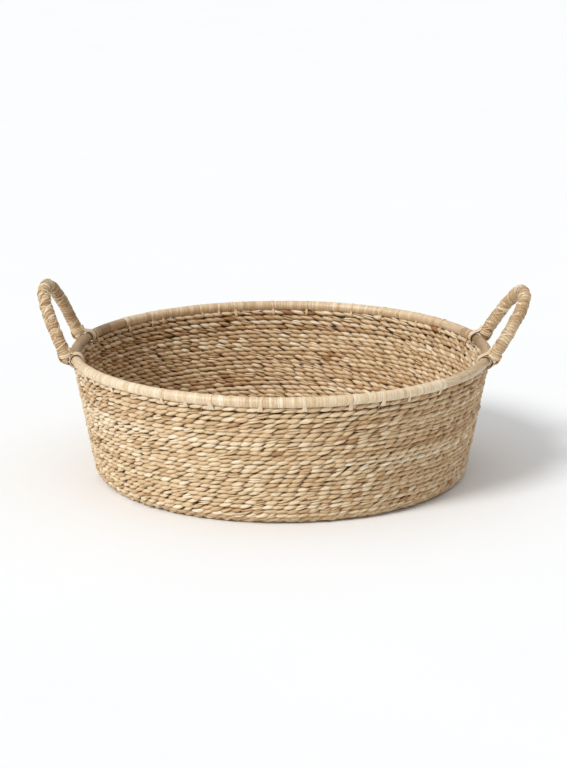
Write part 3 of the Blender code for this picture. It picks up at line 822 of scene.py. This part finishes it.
def build_handle(name, seed):
    rng = np.random.default_rng(seed)
    offset_out = HANDLE_OFFSET[name]
    places, line, ahead = hoop_line(0.42 * MM)
    length = places[-1]
    sides = 34
    turn = (TAU * np.arange(sides) / sides)[None, :]
    s = places[:, None]
    index, share, tone, lift = wound_surface(
        rng, s, turn, length, (1.9 * MM, 4.6 * MM), tilt=1.9 * MM, ragged=0.40 * MM
    )
    top = np.exp(-(((s - length / 2) / (30 * MM)) ** 2))
    lumps = 0.30 * MM * np.sin(s / (11 * MM) + 2 * turn)
    lumps = lumps + 0.22 * MM * np.sin(s / (6.5 * MM) - turn + seed)
    rough = 1 - 0.55 * top
    shingle = 0.62 * ridge(share, 3.2) + 0.38 * (1 - share)
    radius = HANDLE_RADIUS - 0.85 * MM + rough * (0.75 * MM * shingle + 0.24 * MM * lift) + 0.6 * lumps
    radius = radius + 0.25 * MM * top - 0.8 * MM * np.exp(-((line[:, 1:] / (10 * MM)) ** 2))
    offset = radius * np.cos(turn)
    across = line[:, :1] + ahead[:, 1:] * offset
    up = line[:, 1:] - ahead[:, :1] * offset
    out = offset_out + radius * np.sin(turn)
    up = saddle(up, out)
    points = handle_place(name, across, up, out)
    tone = np.clip(0.50 + 0.16 * tone + 0.06 * top, 0.05, 0.95)
    # Painted shade in the grooves between the wraps, less where the top is smoother.
    painted_shade_and_scars = np.clip(0.75 * (1 - ridge(share, 5)) * rough, 0, 0.75)
    uv = np.stack(np.broadcast_arrays(turn * HANDLE_RADIUS / MM + index * 17.3, share), -1)
    pile = Pile()
    pile.tube(points, tone, painted_shade_and_scars, uv)

    for _ in range(64):
        middle = rng.uniform(0.04, 0.96) * length
        reach = rng.uniform(5, 16) * MM
        if abs(middle - length / 2) < 28 * MM:
            reach *= 0.5
        start = rng.uniform(0, TAU)
        twist = rng.uniform(1.6, 4.0) * rng.choice([-1, 1])
        steps = np.linspace(-1, 1, 32)
        run = np.clip(middle + steps * reach / 2, 9 * MM, length - 9 * MM)
        angle = start + twist * steps / 2
        centre = np.stack([np.interp(run, places, line[:, 0]), np.interp(run, places, line[:, 1])], -1)
        way = np.stack([np.interp(run, places, ahead[:, 0]), np.interp(run, places, ahead[:, 1])], -1)
        lift_up = HANDLE_RADIUS + rng.uniform(-0.25, 0.15) * MM - 0.9 * MM * np.abs(steps) ** 5

        def spot(r):
            a = centre[:, 0] + way[:, 1] * r * np.cos(angle)
            u = centre[:, 1] - way[:, 0] * r * np.cos(angle)
            o = offset_out + r * np.sin(angle)
            return handle_place(name, a, saddle(u, o), o)

        centres = spot(lift_up)
        normals = centres - spot(lift_up * 0.5)
        widths = rng.uniform(1.3, 3.0) * MM * (1 - 0.6 * np.abs(steps) ** 5)
        shade = np.clip(rng.normal(0.64, 0.20), 0.1, 0.98)
        strip(pile, rng, centres, normals, widths, STRIP_THICKNESS, shade)
    piece = pile.build(f"handle_{name}_wrapping", HANDLE_WRAP)
    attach(piece, f"handle_{name}")
    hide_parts(f"handle_{name}_binding")
    build_eyes(name, rng)


def lashing(pile, rng, name, local, hug, width, knots):
    """A strip along knots of (across, up, out) in millimetres, beside a leg at local.

    hug scales the knots to the points that the strip faces away from.
    """
    path = catmull(np.array(knots) * MM, 60)
    centres = handle_place(name, local + path[:, 0], path[:, 1], path[:, 2])
    inner = handle_place(name, local + hug[0] * path[:, 0], hug[1] * path[:, 1], hug[2] * path[:, 2])
    tone = np.clip(rng.normal(0.58, 0.09), 0.3, 0.95)
    strip(pile, rng, centres, centres - inner, width, STRIP_THICKNESS, tone)


def build_eyes(name, rng):
    """Peel strips round the rim at each leg and crossed up over the leg, which turn with the handle."""
    offset = HANDLE_OFFSET[name] / MM
    front = HALF_SPAN if name == "left" else -HALF_SPAN
    for label, local in (("front", front), ("rear", -front)):
        pile = Pile()
        inward = -1 if local > 0 else 1
        for shift, radius, width in (
            (0.0, 7.05, 3.6), (-3.3, 7.75, 3.4), (-0.2, 8.05, 3.6), (2.9, 7.85, 3.4), (4.9, 7.95, 2.6)
        ):
            turns = np.linspace(0, TAU, 73)
            steady = 0.35 if radius > 7.5 else 0.05
            wobble = steady * MM * np.sin(turns + rng.uniform(0, TAU))
            r = radius * MM + 0.3 * steady * MM * np.sin(3 * turns + rng.uniform(0, TAU))
            across = local + shift * MM + wobble
            shift_out = -0.254 * math.copysign(shift, local * shift) * MM if radius > 7.5 else 0.0
            out = shift_out * 0.6 + r * np.cos(turns)
            centres = handle_place(name, across, r * np.sin(turns), out)
            inner = handle_place(name, across, 0.5 * r * np.sin(turns), 0.5 * out)
            tone = np.clip(rng.normal(0.55, 0.10), 0.3, 0.9)
            strip(pile, rng, centres, centres - inner, width * MM, STRIP_THICKNESS, tone)
        leg = HANDLE_RADIUS / MM - 0.2
        ring = 8.5
        for shift, slope, rise in (
            (-4.2, 0.6, 15.0), (-1.6, -0.5, 16.5), (1.4, 0.9, 15.5), (4.1, -0.4, 14.5), (0.2, 3.6, 17.0)
        ):
            loop = (
                (rise, offset + leg),
                (rise - 4.0, offset + leg + 0.5),
                (6.6, offset + leg + 0.2),
                (2.6, max(ring + 1.7, offset + 4.6)),
                (-1.6, ring + 0.5),
                (-ring * 0.71, ring * 0.71),
                (-ring, 0.0),
                (-ring * 0.71, -ring * 0.71),
                (0.0, -ring),
                (ring * 0.71, -ring * 0.71),
                (ring + 1.4, offset - leg - 1.5),
                (rise - 3.0, offset - leg - 0.4),
                (rise, offset - leg),
            )
            knots = []
            for k, (up, out) in enumerate(loop):
                knots.append((shift + slope * (k / (len(loop) - 1) - 0.5) * 2, up, out))
            lashing(pile, rng, name, local, (1.0, 0.5, 0.5), rng.uniform(2.6, 3.3) * MM, knots)
        for rise in (9.6, 11.8, 14.2):
            turns = np.linspace(0, TAU, 73)
            r = HANDLE_RADIUS + rng.uniform(0.1, 0.4) * MM
            across = local + r * np.cos(turns)
            out = offset * MM + r * np.sin(turns)
            up = rise * MM + 1.3 * MM * np.sin(turns + inward * 0.6)
            up = saddle(up, out) + 0.4 * MM
            centres = handle_place(name, across, up, out)
            near = offset * MM + 0.5 * r * np.sin(turns)
            inner = handle_place(name, local + 0.5 * r * np.cos(turns), up, near)
            tone = np.clip(rng.normal(0.42, 0.12), 0.15, 0.8)
            strip(pile, rng, centres, centres - inner, 2.3 * MM, STRIP_THICKNESS, tone)
        piece = pile.build(f"handle_{name}_lashing_{label}", TIE_PEEL)
        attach(piece, f"handle_{name}")
        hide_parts(f"handle_{name}_eye_{label}")


# ---------------------------------------------------------------- loose fibres

def build_strays():
    rng = np.random.default_rng(9)
    pile = Pile()
    for _ in range(150):
        azimuth = rng.uniform(0, TAU)
        s = rng.uniform(0.14, 0.97) * WALL_LENGTH
        inside = rng.random() < 0.3
        depth = WALL_DEPTH - 0.5 * MM if inside else 0.5 * MM
        place = wall_frame(np.array(azimuth), np.array(s), depth)
        point, tangent, up, out = (v.reshape(3) for v in place)
        if inside:
            out = -out
        reach = rng.uniform(2.0, 6.5) * MM
        rise = rng.uniform(0.6, 2.6) * MM
        way = tangent * rng.choice([-1, 1]) + up * rng.uniform(-0.5, 0.5)
        middle = point + way * reach * 0.5 + out * rise * 0.8
        knots = [point - way * MM, middle, point + way * reach + out * rise]
        centres = catmull(knots, 7)
        widths = rng.uniform(0.5, 1.3) * MM * np.linspace(1, 0.25, 7)
        strip(pile, rng, centres, np.tile(out, (7, 1)), widths, 0.3 * MM, rng.uniform(0.3, 0.9))
    piece = pile.build("loose_fibres", SEAGRASS)
    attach(piece, "basket")


# ---------------------------------------------------------------- carried-over CAD nodes

def dress_kept_nodes():
    """Gives the CAD nodes that stay a fibre or cane material that needs no strand values."""
    made, tree, shader = new_material("kept_cane")
    place = linked(tree, "ShaderNodeTexCoord").outputs["Object"]
    grain = linked(
        tree, "ShaderNodeTexNoise", [("Vector", place), ("Scale", 140.0), ("Detail", 4.0)]
    ).outputs["Fac"]
    tree.links.new(ramp(tree, grain, CANE), shader.inputs["Base Color"])
    uneven = maths(tree, "MULTIPLY_ADD", grain, 0.25, 0.5)
    tree.links.new(uneven, shader.inputs["Roughness"])
    relief = linked(
        tree, "ShaderNodeBump", [("Height", grain), ("Strength", 0.3), ("Distance", 0.2 * MM)]
    )
    tree.links.new(relief.outputs["Normal"], shader.inputs["Normal"])
    for name, node in frame["nodes"].items():
        if node.hide_render:
            continue
        node.data.materials.clear()
        node.data.materials.append(made)


# ---------------------------------------------------------------- room, light and camera

def build_room():
    made, tree, shader = new_material("studio_floor")
    place = linked(tree, "ShaderNodeTexCoord").outputs["Object"]
    grain = linked(
        tree, "ShaderNodeTexNoise", [("Vector", place), ("Scale", 3.0), ("Detail", 2.0)]
    ).outputs["Fac"]
    tint = ramp(tree, grain, [(0.0, (246, 247, 248)), (1.0, (249, 250, 251))])
    tree.links.new(tint, shader.inputs["Base Color"])
    shader.inputs["Roughness"].default_value = 0.9
    shader.inputs["Specular IOR Level"].default_value = 0.1
    half = 30.0
    points = [(-half, -half, 0.0), (half, -half, 0.0), (half, half, 0.0), (-half, half, 0.0)]
    faces = [(0, 1, 2, 3)]
    mesh = bpy.data.meshes.new("studio_floor")
    mesh.from_pydata(points, [], faces)
    mesh.materials.append(made)
    floor = bpy.data.objects.new("studio_floor", mesh)
    bpy.context.scene.collection.objects.link(floor)


SKY_RISE, SKY_BASE = 0.79, 0.11  # strength of the sky: what it gains by the zenith, and at the horizon
SUN_STRENGTH = 2.03
SUN_WAY = Vector((0.96, 0.94, -1.18))


def build_light():
    """A sky that brightens upward and a broad sun from the front left."""
    world = bpy.data.worlds.new("studio")
    world.use_nodes = True
    tree = world.node_tree
    back = tree.nodes["Background"]
    way = linked(tree, "ShaderNodeTexCoord").outputs["Generated"]
    height = linked(tree, "ShaderNodeSeparateXYZ", [("Vector", way)]).outputs["Z"]
    sky = maths(tree, "MULTIPLY_ADD", maths(tree, "MAXIMUM", height, 0.0), SKY_RISE, SKY_BASE)
    tree.links.new(sky, back.inputs["Strength"])
    back.inputs["Color"].default_value = (0.99, 0.995, 1.0, 1.0)
    bpy.context.scene.world = world
    lamp = bpy.data.lights.new("key", "SUN")
    lamp.energy = SUN_STRENGTH
    lamp.angle = math.radians(20)
    lamp.color = (1.0, 0.995, 0.985)
    holder = bpy.data.objects.new("key", lamp)
    holder.rotation_euler = SUN_WAY.to_track_quat("-Z", "Y").to_euler()
    bpy.context.scene.collection.objects.link(holder)
    scene = bpy.context.scene
    scene.view_settings.view_transform = "Standard"
    scene.view_settings.look = "None"
    scene.view_settings.exposure = 0.0
    scene.view_settings.gamma = 1.0


def build_camera():
    distance = 2.68
    elevation = math.radians(14.47)
    target = Vector((0.003, 0.0, 0.7135 * RIM_Z))
    back = Vector((0.0, -math.cos(elevation), math.sin(elevation)))
    lens = bpy.data.cameras.new("camera")
    lens.lens = 104.7
    lens.sensor_width = 36.0
    lens.clip_end = 50.0
    holder = bpy.data.objects.new("camera", lens)
    holder.location = target + back * distance
    holder.rotation_euler = (-back).to_track_quat("-Z", "Y").to_euler()
    bpy.context.scene.collection.objects.link(holder)
    bpy.context.scene.camera = holder


build_wall()
build_base()
# The rear winding's tone is set lower than the front's: painted shade on the back of the rim.
for label, first, last, level, seed in (
    ("rear", RIGHT_SPLICE[1], LEFT_SPLICE[0], 0.42, 41),
    ("front", LEFT_SPLICE[1], 360 + RIGHT_SPLICE[0], 0.56, 42),
):
    start, end = math.radians(first), math.radians(last)
    build_rim_binding(f"rim_winding_{label}", f"rim_binding_{label}", start, end, level, seed)
build_splice("rim_cane_right", "rim_splice_right", RIGHT_SPANS, 5)
build_splice("rim_cane_left", "rim_splice_left", LEFT_SPANS, 6)
build_ties()
build_handle("left", 21)
build_handle("right", 22)
build_strays()
dress_kept_nodes()
build_room()
build_light()
build_camera()
